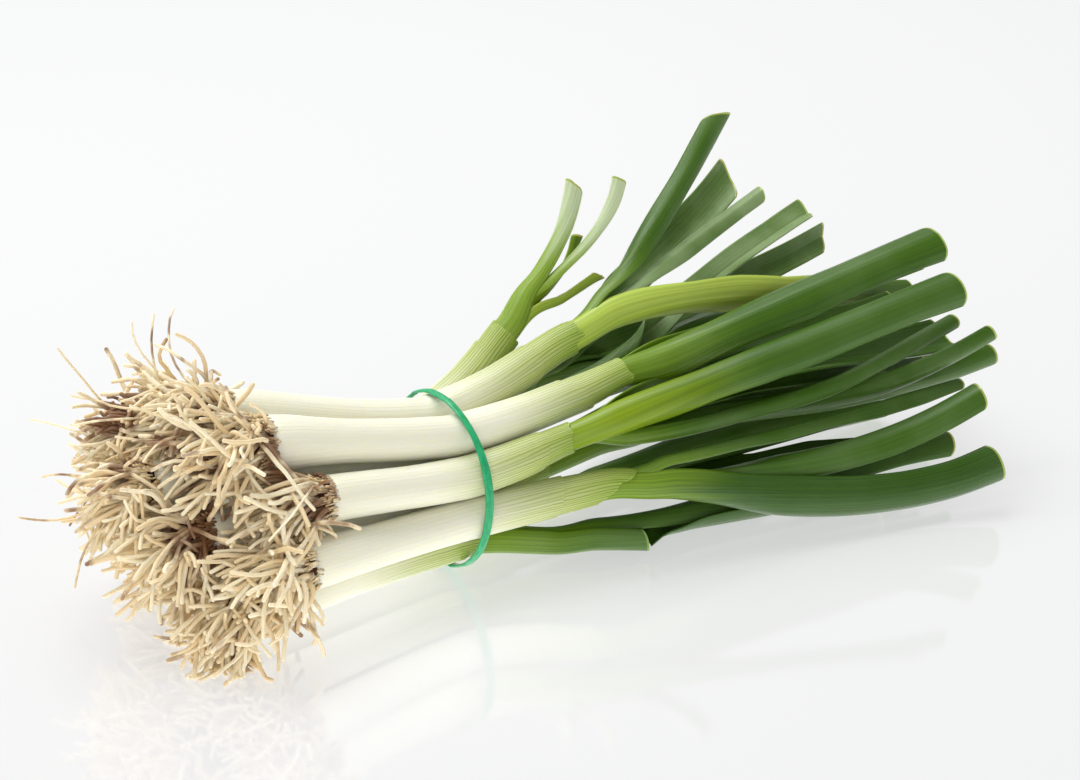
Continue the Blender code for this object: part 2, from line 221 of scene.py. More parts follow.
# Camera, as seen from the rubber band
AIM_FROM_BAND = Vector((0.038, -0.0102, 0.0297))
CAMERA_AZIMUTH_DEG = -35.0
CAMERA_ELEVATION_DEG = 23.0
CAMERA_DISTANCE = 1.15
CAMERA_LENS = 103.6


# ---------------------------------------------------------------- shapes


def unit(vector):
    return vector / (np.linalg.norm(vector) + 1e-12)


def smooth_step(value, low=0.0, high=1.0):
    share = np.clip((value - low) / (high - low), 0, 1)
    return share * share * (3 - 2 * share)


def square_to(vector, way):
    """The part of a vector that is square to a way, made unit length."""
    return unit(vector - (vector @ way) * way)


def welded(node):
    """The corners of a node's solid, each once, and the neighbours of each."""
    mesh = frame["nodes"][node].data
    corners = np.array([vertex.co for vertex in mesh.vertices])
    _, first, number = np.unique(
        np.round(corners / (0.01 * MM)), axis=0, return_index=True, return_inverse=True
    )
    number = number.reshape(-1)
    neighbours = [set() for _ in first]
    for edge in mesh.edges:
        a, b = number[list(edge.vertices)]
        neighbours[a].add(b)
        neighbours[b].add(a)
    return corners[first], neighbours


def rings_of(node, way, count):
    """The rings of corners along a swept solid, starting with the one that is least far along a way."""
    corners, neighbours = welded(node)
    ring = set((corners @ way).argsort()[:count])
    seen, rings = set(ring), []
    while len(ring) == count:
        rings.append(corners[sorted(ring)])
        ring = set().union(*(neighbours[corner] for corner in ring)) - seen
        seen |= ring
    return np.array(rings)


def smooth_path(values, at):
    """Values on a smooth curve through rows of numbers. at counts rows, and runs on past the ends."""
    rows = np.asarray(values, float)
    rows = np.concatenate([[2 * rows[0] - rows[1]], rows, [2 * rows[-1] - rows[-2]]])
    at = np.asarray(at, float) + 1
    base = np.clip(at.astype(int), 1, len(rows) - 3)
    share = (at - base).reshape(-1, *[1] * (rows.ndim - 1))
    p0, p1, p2, p3 = (rows[base + step] for step in (-1, 0, 1, 2))
    return 0.5 * (
        2 * p1
        + (p2 - p0) * share
        + (2 * p0 - 5 * p1 + 4 * p2 - p3) * share**2
        + (3 * p1 - p0 - 3 * p2 + p3) * share**3
    )


def lengths_along(points):
    return np.concatenate([[0], np.cumsum(np.linalg.norm(np.diff(points, axis=0), axis=1))])


def ways_along(points):
    ways = np.gradient(points, axis=0)
    return ways / (np.linalg.norm(ways, axis=1)[:, None] + 1e-12)


class Shaft:
    """The middle line and radius of one leek's shaft, and of its sheath past the shaft's top."""

    def __init__(self, leek):
        rings = rings_of(f"{leek}_shaft", np.array([1.0, 0, 0]), SHAFT_CORNERS)
        self.middles = rings.mean(1)
        self.radii = np.linalg.norm(rings - self.middles[:, None], axis=2).mean(1)
        self.along = lengths_along(self.middles)
        self.length = self.along[-1]
        self.top = self.middles[-1]
        self.end = self.middles[0]
        self.top_way = unit(self.middles[-1] - self.middles[-2])
        self.end_way = unit(self.middles[0] - self.middles[1])
        outer, outer_slant, inner, inner_slant, turn_deg, size, teeth, lead = SHEATHS[leek]
        self.layer_end, self.layer_slant = outer * MM, outer_slant * MM
        self.reach, self.reach_slant = inner * MM, inner_slant * MM
        self.turn = math.radians(turn_deg)
        self.mouth_size, self.teeth = size, teeth * MM
        self.lead = Leaf(f"{leek}_leaf_{lead}", self)

    def at(self, past):
        """The middle and radius at distances past the top. A distance below 0 is down the shaft."""
        inside = np.clip(self.length + past, 0, self.length)
        rows = np.interp(inside, self.along, np.arange(len(self.along)))
        beyond = np.maximum(past, 0)
        line = smooth_path(self.middles, rows) + beyond[:, None] * self.top_way
        led = smooth_step(beyond, 0, FOLLOWS_LEAF_AFTER)[:, None]
        line = line + led * (smooth_path(self.lead.middles, self.lead.rows_at(beyond)) - line)
        near_mouth = smooth_step(past, self.reach - NARROWS_OVER, self.reach)
        narrowed = (1 - self.mouth_size) * near_mouth
        return line, np.interp(inside, self.along, self.radii) * (1 - narrowed)


class Leaf:
    """The middle line, keel, side and half width of one leaf, from its start to its cut end."""

    def __init__(self, node, shaft):
        rings = rings_of(node, shaft.top_way, LEAF_CORNERS)
        middles, keels, sides, halves = [], [], [], []
        side = None
        for ring in rings:
            gaps = np.linalg.norm(ring[:, None] - ring[None], axis=2)
            a, b = np.unravel_index(gaps.argmax(), gaps.shape)
            across = unit(ring[b] - ring[a])
            if side is not None and across @ side < 0:
                across = -across
            side = across
            edge_middle = (ring[a] + ring[b]) / 2
            keel = square_to(ring.mean(0) - edge_middle, side)
            deepest = ((ring - edge_middle) @ keel).max()
            middles.append(edge_middle + keel * (deepest / 2 - MM))
            keels.append(keel)
            sides.append(side)
            halves.append(gaps.max() / 2)
        self.middles, self.keels, self.sides = map(np.array, (middles, keels, sides))
        self.halves = np.array(halves)
        self.along = lengths_along(self.middles)
        self.length = self.along[-1]
        self.is_outer = np.linalg.norm(self.middles[0] - shaft.top) > OUTER_LEAF_OFFSET

    def rows_at(self, past):
        return np.interp(past, self.along, np.arange(len(self.along)))


class Skin:
    """Corners, faces, marks (u, v) and finishes of a mesh while it is put together."""

    def __init__(self):
        self.corners, self.faces, self.marks, self.finishes = [], [], [], []
        self.count = 0

    def add_faces(self, faces, marks, finish):
        self.faces += faces
        self.marks += marks
        self.finishes += [finish] * len(faces)

    def add_sheet(self, points, marks, finish=0):
        """Covers rows of points. Rows of marks one longer than those of points close each row."""
        rows, columns = points.shape[:2]
        number = self.count + np.arange(rows * columns).reshape(rows, columns)
        if marks.shape[1] > columns:
            number = np.concatenate([number, number[:, :1]], 1)
        self.corners.append(points.reshape(-1, 3))
        self.count += rows * columns

        def quads(grid):
            corner = (grid[:-1, :-1], grid[:-1, 1:], grid[1:, 1:], grid[1:, :-1])
            return np.stack(corner, 2).reshape(-1, 4, *grid.shape[2:])

        self.add_faces(quads(number).tolist(), quads(marks).tolist(), finish)

    def add_cap(self, ring, mark, finish=0):
        """Closes a ring of points with one flat face."""
        face = list(range(self.count, self.count + len(ring)))
        self.corners.append(np.asarray(ring))
        self.count += len(ring)
        self.add_faces([face], [[list(mark)] * len(ring)], finish)

    def piece(self, name, nodes, finishes):
        """Makes the mesh, and lets it stand for its nodes."""
        mesh = bpy.data.meshes.new(name)
        corners = np.concatenate(self.corners)
        corners[:, 2] = np.maximum(corners[:, 2], 0)
        mesh.from_pydata(corners.tolist(), [], self.faces)
        layer = mesh.uv_layers.new(name="marks")
        flat = np.concatenate([np.array(face, np.float32).reshape(-1) for face in self.marks])
        layer.data.foreach_set("uv", flat)
        mesh.polygons.foreach_set("material_index", self.finishes)
        for finish in finishes:
            mesh.materials.append(finish)
        mesh.shade_smooth()
        made = bpy.data.objects.new(name, mesh)
        bpy.context.scene.collection.objects.link(made)
        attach(made, "root")
        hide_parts(*nodes)
        return made


def tube_rows(points, radii, sides):
    """Rings of points round a line, turned as little as possible from one to the next."""
    ways = ways_along(points)
    across = square_to(np.array([0.13, 0.21, 1.0]), ways[0])
    turns = np.arange(sides) * 2 * math.pi / sides
    rows = []
    for point, radius, way in zip(points, radii, ways):
        across = square_to(across, way)
        other = np.cross(way, across)
        ring = np.outer(np.cos(turns), across) + np.outer(np.sin(turns), other)
        rows.append(point + radius * ring)
    return np.array(rows)


# ---------------------------------------------------------------- shafts


def warp_columns(rows, past, at):
    """Moves every column of a grid of points to its own distances."""
    warped = np.empty((at.shape[0], *rows.shape[1:]))
    for column in range(rows.shape[1]):
        for axis in range(3):
            warped[:, column, axis] = np.interp(at[:, column], past, rows[:, column, axis])
    return warped


class Layer(NamedTuple):
    """One layer of a shaft: its lengths are in metres, and its ends are past the shaft's top."""

    start: float
    end: float
    slant: float
    teeth: float
    depth: float
    rows: int
    is_hollow: bool


def add_layer(skin, shaft, layer, swell, rng):
    """Adds a tube with a slanted, slightly torn rim. It gives its first ring and that ring's mark."""
    turns = np.arange(SHAFT_COLUMNS) * 2 * math.pi / SHAFT_COLUMNS
    torn = np.repeat(rng.uniform(-1, 1, SHAFT_COLUMNS // 3), 3)
    torn = 0.5 * torn + 0.5 * np.roll(torn, 1)
    ends = layer.end + layer.slant * np.cos(turns - shaft.turn) + layer.teeth * torn
    past = np.linspace(layer.start, ends.max(), layer.rows * 2)
    middles, radii = shaft.at(past)
    radii = (radii - layer.depth) * swell(past)
    shares = np.linspace(0, 1, layer.rows) ** 0.8
    at = layer.start + shares[:, None] * (ends - layer.start)
    outer = warp_columns(tube_rows(middles, radii, SHAFT_COLUMNS), past, at)
    inner = warp_columns(tube_rows(middles, radii - SHEATH_WALL, SHAFT_COLUMNS), past, at)
    around = np.linspace(0, 1, SHAFT_COLUMNS + 1)
    at = np.concatenate([at, at[:, :1]], 1)
    marks = np.stack([np.broadcast_to(around, at.shape), (at - shaft.reach) * 10], 2)
    skin.add_sheet(outer, marks)
    # The rim takes the cut-edge green: partly the torn edge's own colour, partly painted shade for the
    # shadow in the ridge where this layer ends.
    skin.add_sheet(np.stack([outer[-1], inner[-1]]), marks[-2:], 1)
    if layer.is_hollow:
        skin.add_sheet(inner[:-SHEATH_INSIDE_ROWS:-1], marks[:-SHEATH_INSIDE_ROWS:-1])
    return outer[0], marks[0, 0]


def make_shaft(leek, shaft):
    """The white shaft with its swollen base, and the veined inner sheath that comes out of it."""
    rng = np.random.default_rng(int(leek[-2:]))
    bumps = rng.uniform(-SHAFT_UNEVENNESS, SHAFT_UNEVENNESS, 9)
    bumps_at = np.linspace(-shaft.length, 0, 9)

    def swell(past):
        closing = np.sqrt(np.clip((past + shaft.length) / SHAFT_CLOSES_OVER, 0.02, 1))
        return (0.25 + 0.75 * closing) * (1 + np.interp(past, bumps_at, bumps))

    outer = Layer(
        start=-shaft.length,
        end=shaft.layer_end,
        slant=shaft.layer_slant,
        teeth=OUTER_TEETH,
        depth=0.0,
        rows=SHAFT_ROWS,
        is_hollow=False,
    )
    inner = Layer(
        start=shaft.layer_end - shaft.layer_slant - LAYERS_OVERLAP,
        end=shaft.reach,
        slant=shaft.reach_slant,
        teeth=shaft.teeth,
        depth=INNER_LAYER_DEPTH,
        rows=SHEATH_ROWS,
        is_hollow=True,
    )
    skin = Skin()
    base, mark = add_layer(skin, shaft, outer, swell, rng)
    skin.add_cap(base[::-1], mark)
    add_layer(skin, shaft, inner, np.ones_like, rng)
    skin.piece(f"{leek}_white_shaft", [f"{leek}_shaft"], [SHAFT_FINISH, CUT_EDGE_AND_RIM_SHADE_FINISH])


# ---------------------------------------------------------------- leaves


def leaf_lines(leaf, shaft):
    """Stations along a leaf: distance past the shaft's top, apex, keel, side, wrap and radius."""
    tucked = min(-TUCKED_IN, shaft.reach - TUCKED_IN)
    past = np.append(np.linspace(tucked, leaf.length - RIM_LENGTH, LEAF_ROWS - 1), leaf.length)
    rows = leaf.rows_at(np.maximum(past, 0))
    stem, stem_radius = shaft.at(past)
    keels = smooth_path(leaf.keels, rows)
    sides = smooth_path(leaf.sides, rows)
    beyond = max(shaft.reach, 0)
    free = smooth_step(past, 0.4 * beyond, beyond + LEAVES_SHEATH_OVER)
    leads = np.allclose(leaf.middles, shaft.lead.middles)
    share = LEAD_SHARE if leads else OUTER_SHARE if leaf.is_outer else INNER_SHARE
    nested = (stem_radius - INNER_LAYER_DEPTH - SHEATH_WALL) * share
    halves = nested + (np.interp(rows, np.arange(len(leaf.halves)), leaf.halves) - nested) * free
    apex = stem + keels * nested[:, None]
    blade = smooth_path(leaf.middles, rows) + keels * (0.25 * halves)[:, None]
    apex = apex + (blade - apex) * free[:, None]
    unrolled = smooth_step(past, beyond, beyond + UNROLLS_OVER)
    wrapped = LEAD_WRAP_DEG if leads else NESTED_WRAP_DEG
    wrap = np.radians(wrapped + (BLADE_WRAP_DEG - wrapped) * unrolled)
    radius = halves / np.sin(np.minimum(wrap, math.pi / 2))
    ways = ways_along(apex)
    keels = np.array([square_to(keel, way) for keel, way in zip(keels, ways)])
    across = np.cross(keels, ways)
    sides = across * np.sign((across * sides).sum(1))[:, None]
    return past, apex, keels, sides, wrap, radius


def leaf_surface(node, lines, fold):
    """Outer points and outward ways of a leaf, one row for each station."""
    past, apex, keels, sides, wrap, radius = lines
    rng = np.random.default_rng(int(node[5:7]) * 10 + int(node[-1]))
    knots = np.linspace(past[0], past[-1], 9)
    wander = np.interp(past, knots, rng.uniform(-1, 1, 9))
    wander *= smooth_step(past, 10 * MM, 60 * MM)
    ruffle = np.interp(past, knots, rng.uniform(-1, 1, 9))
    ruffle *= smooth_step(past, 20 * MM, 80 * MM)
    wrap = wrap * (1 + 0.10 * wander)
    angles = wrap[:, None] * LEAF_ARC
    out = -radius[:, None] * (1 - np.cos(angles))
    across = radius[:, None] * np.sin(angles)
    folded = fold * smooth_step(np.degrees(wrap), 100, 70)[:, None]
    straight = -np.abs(LEAF_ARC) * (radius * (1 - np.cos(wrap)))[:, None]
    out += folded * (straight - out)
    out += (RUFFLE * ruffle[:, None]) * LEAF_ARC * np.abs(LEAF_ARC)
    points = apex[:, None] + keels[:, None] * out[..., None]
    points = points + sides[:, None] * across[..., None]
    step_across = np.gradient(points, axis=1)
    step_along = np.gradient(points, axis=0)
    outward = np.cross(step_across, step_along)
    outward /= np.linalg.norm(outward, axis=2)[..., None] + 1e-12
    facing = np.sign((outward * keels[:, None]).sum(2)[:, len(LEAF_ARC) // 2])
    return points, outward * facing[:, None, None]


def make_leaf(node, shaft):
    """One leaf blade, from inside the sheath to where the knife cut it."""
    leaf = Leaf(node, shaft)
    fold, slant = FOLDED.get(node, USUAL_FOLD)
    lines = leaf_lines(leaf, shaft)
    past = lines[0]
    outer, outward = leaf_surface(node, lines, fold)
    thickening = 0.5 + 0.5 * smooth_step(past, 0, LEAF_THICKENS_OVER)
    thick = LEAF_WALL * thickening[:, None] * (1 - 0.6 * LEAF_ARC**2)
    inner = outer - outward * thick[..., None]
    slanted = abs(slant) - slant * LEAF_ARC
    missing = leaf.halves[-1] * (slanted + CORNER_ROUNDING * np.abs(LEAF_ARC) ** 4)
    at = past[0] + (past - past[0])[:, None] * (1 - missing / (past[-1] - past[0]))
    at[-2] = at[-1] - RIM_LENGTH
    outer, inner = warp_columns(outer, past, at), warp_columns(inner, past, at)
    share_across = np.broadcast_to(0.5 + 0.5 * LEAF_ARC, at.shape)
    marks = np.stack([share_across, (at - shaft.reach) * 10], 2)
    loop = np.concatenate([outer, inner[:, ::-1]], 1)
    loop_marks = np.concatenate([marks, marks[:, ::-1], marks[:, :1]], 1)
    skin = Skin()
    skin.add_sheet(loop[:-1], loop_marks[:-1])
    skin.add_sheet(loop[-2:], loop_marks[-2:], 1)
    skin.add_sheet(np.stack([outer[-1], inner[-1]]), np.stack([marks[-1], marks[-1]]), 1)
    finish = LEAF_FINISHES[LEAF_LOOKS.get(node, USUAL_LOOK)]
    skin.piece(f"{node}_blade", [node], [finish, CUT_EDGE_AND_RIM_SHADE_FINISH])


# ---------------------------------------------------------------- roots


def grow_root(rng, start, way, pull, length, wild):
    """Points along one root that wanders as it grows and never goes below the surface."""
    points, step = [start], length / ROOT_STEPS
    bend = rng.normal(0, 1, 3)
    for _ in range(ROOT_STEPS):
        bend = 0.75 * bend + 0.65 * rng.normal(0, 1, 3)
        way = unit(way + wild * bend + pull)
        after = points[-1] + way * step
        after[2] = max(after[2], ROOT_RADIUS)
        points.append(after)
    return np.array(points)


def add_root(skin, points, radius, tone):
    """A root as a thin tube with a blunt, rounded tip."""
    tip_way = unit(points[-1] - points[-2])
    points = np.concatenate([points, [points[-1] + tip_way * 0.5 * radius]])
    share = np.linspace(0, 1, len(points))
    thick = radius * (1.1 - 0.25 * share)
    thick[-1] *= 0.45
    rows = tube_rows(points, thick, ROOT_SIDES)
    marks = np.stack(np.meshgrid(np.full(ROOT_SIDES + 1, tone), share), 2)
    skin.add_sheet(rows, marks)
    skin.add_cap(rows[-1], (tone, 1))


def add_stubs(skin, rng, shaft, up, side):
    """The fuzzy ring of short root stubs and scales round the base of a shaft."""
    way = shaft.end_way
    for _ in range(STUBS_PER_LEEK):
        turn = rng.uniform(0, 2 * math.pi)
        back = rng.uniform(*STUB_RING_MM) * MM
        radial = math.cos(turn) * up + math.sin(turn) * side
        radius = shaft.radii[0] * (1.0 - 0.3 * max(-back, 0) / (-STUB_RING_MM[0] * MM))
        start = shaft.end - way * (back - 1 * MM) + radial * (radius - 0.6 * MM)
        lean = unit(radial * rng.uniform(0.1, 0.7) + way * rng.uniform(0.7, 1.4))
        length = rng.uniform(*STUB_LENGTHS_MM) * MM
        points = start + np.outer(np.linspace(0, 1, 4), lean * length)
        points[:, 2] = np.maximum(points[:, 2], 0.3 * MM)
        add_root(skin, points, rng.uniform(*STUB_RADII_MM) * MM, rng.uniform(0.1, 0.6))


def add_core(skin, rng, shaft):
    """The lumpy brown root plate with soil on it, in the middle of a tuft."""
    steps = np.linspace(0, 1, 9)
    points = shaft.end + np.outer(steps * CORE_LENGTH - CORE_SUNK, shaft.end_way)
    radii = shaft.radii[0] * 0.86 * np.sqrt(np.clip(1 - steps**2.5, 0.02, 1))
    rows = tube_rows(points, radii, CORE_SIDES)
    rows += rng.normal(0, CORE_LUMPS, rows.shape)
    marks = np.stack(np.meshgrid(np.linspace(0, 1, CORE_SIDES + 1), np.zeros(len(rows))), 2)
    skin.add_sheet(rows, marks, 1)
    skin.add_cap(rows[-1], (0, 0), 1)


class Tuft:
    """Where one tuft grows from, which way it starts and ends, and how far its roots reach."""

    def __init__(self, leek, shaft):
        rings = rings_of(f"{leek}_roots", shaft.end_way, TUFT_CORNERS)
        middles = rings.mean(1)
        reach = np.linalg.norm(rings[2] - middles[2], axis=1).mean()
        self.end, self.end_way, self.radius = shaft.end, shaft.end_way, shaft.radii[0]
        self.spread = (reach * 1.1 - self.radius * 0.6) / TUFT_SPREADS_OVER
        self.first_way = unit(middles[1] - middles[0])
        self.last_way = unit(middles[-1] - middles[-2])
        self.longest = LONG_ROOTED.get(leek, LONGEST_ROOT)
        self.up = square_to(np.array([0, 0, 1.0]), shaft.end_way)
        self.side = np.cross(shaft.end_way, self.up)


def add_tuft_root(skin, rng, tuft, is_stray):
    """One root, which starts anywhere on the shaft's end. A stray is long, thin and straight."""
    turn = rng.uniform(0, 2 * math.pi)
    out = math.sqrt(rng.uniform(0, 1))
    radial = math.cos(turn) * tuft.up + math.sin(turn) * tuft.side
    domed = tuft.end_way * (3 * MM * (1 - out))
    start = tuft.end + radial * out * tuft.radius * 0.9 + domed
    way = unit(tuft.first_way + radial * out * tuft.spread + 0.22 * rng.normal(0, 1, 3))
    length = rng.uniform(SHORTEST_ROOT, tuft.longest)
    wild = 0.17 if rng.uniform() < 0.6 else 0.3
    pull = 0.12 * tuft.last_way + np.array([0, 0, -ROOTS_SAG])
    thick = ROOT_RADIUS * rng.uniform(0.75, 1.15)
    if is_stray:
        length, wild, pull = rng.uniform(*STRAY_LENGTHS_MM) * MM, 0.12, 0
        thick = STRAY_THINNESS * ROOT_RADIUS
    points = grow_root(rng, start, way, pull, length, wild)
    add_root(skin, points, thick, rng.uniform(0.3, 1.0))


def make_roots(leek, shaft):
    """One tuft: many blunt roots, a few long strays, and the fuzzy ring that they grow from."""
    rng = np.random.default_rng(100 + int(leek[-2:]))
    tuft = Tuft(leek, shaft)
    skin = Skin()
    for number in range(ROOTS_PER_LEEK + STRAY_ROOTS.get(leek, 0)):
        add_tuft_root(skin, rng, tuft, number >= ROOTS_PER_LEEK)
    add_stubs(skin, rng, shaft, tuft.up, tuft.side)
    add_core(skin, rng, shaft)
    skin.piece(f"{leek}_root_tuft", [f"{leek}_roots"], [ROOT_FINISH, SOIL_FINISH])


# ---------------------------------------------------------------- rubber band


def band_ring(middle, outward, station):
    """The corners across the strip at one station, with flat sides and a slight twist."""
    twist = 0.22 * math.sin(2 * station + 0.6) + 0.1 * math.sin(5 * station)
    wide = np.array([math.cos(twist), 0, 0]) + outward * math.sin(twist)
    thick = outward * math.cos(twist) - np.array([math.sin(twist), 0, 0])
    ring = []
    for turn in np.linspace(0, 2 * math.pi, BAND_SIDES, endpoint=False):
        flat = math.copysign(abs(math.cos(turn)) ** 0.6, math.cos(turn))
        corner = middle + wide * BAND_HALF_WIDTH * flat
        ring.append(corner + thick * BAND_HALF_THICKNESS * math.sin(turn))
    return ring


def make_band():
    """A flat rubber strip pulled round the shafts, a little twisted and uneven."""
    corners, _ = welded("rubber_band")
    centre = (corners.min(0) + corners.max(0)) / 2
    away = corners - centre
    turns = np.arctan2(away[:, 2], away[:, 1])
    reach = np.linalg.norm(away[:, 1:], axis=1)
    rows = []
    for station in np.linspace(-math.pi, math.pi, BAND_ROWS, endpoint=False):
        gap = (turns - station + math.pi) % (2 * math.pi) - math.pi
        weights = np.exp(-((gap / math.radians(BAND_EVENED_DEG)) ** 2)) + 1e-12
        radius = np.average(reach, weights=weights)
        outward = np.array([0, math.cos(station), math.sin(station)])
        shift = 0.9 * MM * math.sin(station + 0.8) + 0.4 * MM * math.sin(3 * station)
        middle = centre + outward * radius + np.array([shift, 0, 0])
        rows.append(band_ring(middle, outward, station))
    rows = np.array(rows)
    rows[..., 2] = np.maximum(rows[..., 2], 0.05 * MM)
    around = np.linspace(0, 1, BAND_SIDES + 1)
    marks = np.stack(np.meshgrid(around, np.linspace(0, 4, BAND_ROWS + 1)), 2)
    rows = np.concatenate([rows, rows[:1]])
    skin = Skin()
    skin.add_sheet(rows, marks)
    skin.piece("green_rubber_band", ["rubber_band"], [BAND_FINISH])


# ---------------------------------------------------------------- finishes


def new_group(name, inputs, outputs):
    """An empty shader node group with named sockets: (group, its input node, its output node)."""
    group = bpy.data.node_groups.new(name, "ShaderNodeTree")
    for label, kind, default in inputs:
        socket = group.interface.new_socket(label, in_out="INPUT", socket_type=kind)
        socket.default_value = default
    for label, kind in outputs:
        group.interface.new_socket(label, in_out="OUTPUT", socket_type=kind)
    return group, group.nodes.new("NodeGroupInput"), group.nodes.new("NodeGroupOutput")


def add_node(tree, kind, values=(), **settings):
    """A node with its settings, and with values or links for its inputs by name or number."""
    node = tree.nodes.new(kind)
    for setting, value in settings.items():
        setattr(node, setting, value)
    for socket, value in dict(values).items():
        if isinstance(value, bpy.types.NodeSocket):
            tree.links.new(value, node.inputs[socket])
        else:
            node.inputs[socket].default_value = value
    return node


def math_node(tree, operation, first, second=0.0):
    return add_node(tree, "ShaderNodeMath", {0: first, 1: second}, operation=operation).outputs[0]


def mix_colours(tree, share, first, second, blend="MIX"):
    node = add_node(
        tree, "ShaderNodeMix", {0: share, 6: first, 7: second}, data_type="RGBA", blend_type=blend
    )
    return node.outputs[2]


def ranged(tree, value, low, high, to_low=0.0, to_high=1.0):
    values = {0: value, 1: low, 2: high, 3: to_low, 4: to_high}
    return add_node(tree, "ShaderNodeMapRange", values, interpolation_type="SMOOTHSTEP").outputs[0]


def streaks_group():
    """Fine veins that run along a leaf or a shaft."""
    group, given, result = new_group(
        "veins along",
        [("Across", "NodeSocketFloat", 60.0), ("Along", "NodeSocketFloat", 1.0)],
        [("Veins", "NodeSocketFloat"), ("Broad", "NodeSocketFloat")],
    )
    marks = add_node(group, "ShaderNodeUVMap", uv_map="marks")
    for output, across, along, detail in (("Veins", 1.0, 1.0, 2.0), ("Broad", 0.22, 0.5, 3.0)):
        scale = add_node(
            group,
            "ShaderNodeCombineXYZ",
            {
                0: math_node(group, "MULTIPLY", given.outputs["Across"], across),
                1: math_node(group, "MULTIPLY", given.outputs["Along"], along),
            },
        )
        place = add_node(
            group,
            "ShaderNodeVectorMath",
            {0: marks.outputs[0], 1: scale.outputs[0]},
            operation="MULTIPLY",
        )
        noise = add_node(
            group, "ShaderNodeTexNoise", {"Vector": place.outputs[0], "Scale": 1.0, "Detail": detail}
        )
        share = ranged(group, noise.outputs[0], 0.34, 0.66)
        group.links.new(share, result.inputs[output])
    return group


def ribs_group():
    """Evenly spaced parallel ribs that run along a leaf or a sheath, a little uneven."""
    group, given, result = new_group(
        "ribs along", [("Count", "NodeSocketFloat", 30.0)], [("Ribs", "NodeSocketFloat")]
    )
    marks = add_node(group, "ShaderNodeUVMap", uv_map="marks")
    across = add_node(group, "ShaderNodeSeparateXYZ", {0: marks.outputs[0]}).outputs[0]
    stretch = add_node(
        group,
        "ShaderNodeVectorMath",
        {0: marks.outputs[0], 1: (9.0, 1.6, 0)},
        operation="MULTIPLY",
    )
    noise = add_node(group, "ShaderNodeTexNoise", {"Vector": stretch.outputs[0], "Scale": 1.0})
    wander = math_node(group, "MULTIPLY", noise.outputs[0], 2.2)
    turns = math_node(group, "MULTIPLY", across, given.outputs["Count"])
    angle = math_node(group, "MULTIPLY", math_node(group, "ADD", turns, wander), 2 * math.pi)
    wave = math_node(group, "SINE", angle)
    group.links.new(ranged(group, wave, -0.2, 1.0), result.inputs[0])
    return group


def mottle_group():
    """Soft blotches and fine specks over any surface."""
    group, given, result = new_group(
        "mottling",
        [("Size", "NodeSocketFloat", 60.0)],
        [("Blotches", "NodeSocketFloat"), ("Specks", "NodeSocketFloat")],
    )
    place = add_node(group, "ShaderNodeTexCoord").outputs["Object"]
    for output, finer, low, high in (("Blotches", 1.0, 0.35, 0.68), ("Specks", 14.0, 0.5, 0.75)):
        size = math_node(group, "MULTIPLY", given.outputs["Size"], finer)
        noise = add_node(
            group, "ShaderNodeTexNoise", {"Vector": place, "Scale": size, "Detail": 4.0}
        )
        group.links.new(ranged(group, noise.outputs[0], low, high), result.inputs[output])
    return group


def growth_group():
    """The colour along a leek: white at the roots, pale green, young green, then full green."""
    inputs = [(colour, "NodeSocketColor", (1, 1, 1, 1)) for colour in GROWTH_COLOURS]
    inputs += [(stop, "NodeSocketFloat", 0.0) for stop in GROWTH_STOPS]
    group, given, result = new_group(
        "growth", inputs, [("Colour", "NodeSocketColor"), ("Greenness", "NodeSocketFloat")]
    )
    place = given.outputs
    marks = add_node(group, "ShaderNodeUVMap", uv_map="marks")
    along = add_node(group, "ShaderNodeSeparateXYZ", {0: marks.outputs[0]}).outputs[1]
    streaks = add_node(group, "ShaderNodeGroup", {"Across": 22.0, "Along": 0.8}, node_tree=STREAKS)
    centred = math_node(group, "SUBTRACT", streaks.outputs["Broad"], 0.5)
    along = math_node(group, "ADD", along, math_node(group, "MULTIPLY", centred, 0.12))
    pale = ranged(group, along, place["Pale from"], place["Pale by"])
    young = ranged(group, along, place["Young from"], place["Young by"])
    green = ranged(group, along, place["Green from"], place["Green by"])
    colour = mix_colours(group, pale, place["White"], place["Pale"])
    colour = mix_colours(group, young, colour, place["Young"])
    colour = mix_colours(group, green, colour, place["Green"])
    group.links.new(colour, result.inputs["Colour"])
    veined = math_node(group, "MAXIMUM", math_node(group, "MULTIPLY", pale, 0.8), young)
    group.links.new(veined, result.inputs["Greenness"])
    return group


def new_finish(name, **values):
    """A material whose surface has these plain values."""
    finish = bpy.data.materials.new(name)
    finish.use_nodes = True
    surface = finish.node_tree.nodes["Principled BSDF"]
    for label, value in values.items():
        surface.inputs[label.replace("_", " ")].default_value = value
    return finish, finish.node_tree, surface


def bump_from(tree, surface, height, strength, distance):
    bump = add_node(
        tree, "ShaderNodeBump", {"Height": height, "Strength": strength, "Distance": distance}
    )
    tree.links.new(bump.outputs[0], surface.inputs["Normal"])


def rgb(red, green, blue):
    """A display colour as the shader's own linear values."""
    return (*(((c / 255 + 0.055) / 1.055) ** 2.4 for c in (red, green, blue)), 1.0)


def times(tree, first, second):
    """The product of two shader values."""
    return math_node(tree, "MULTIPLY", first, second)


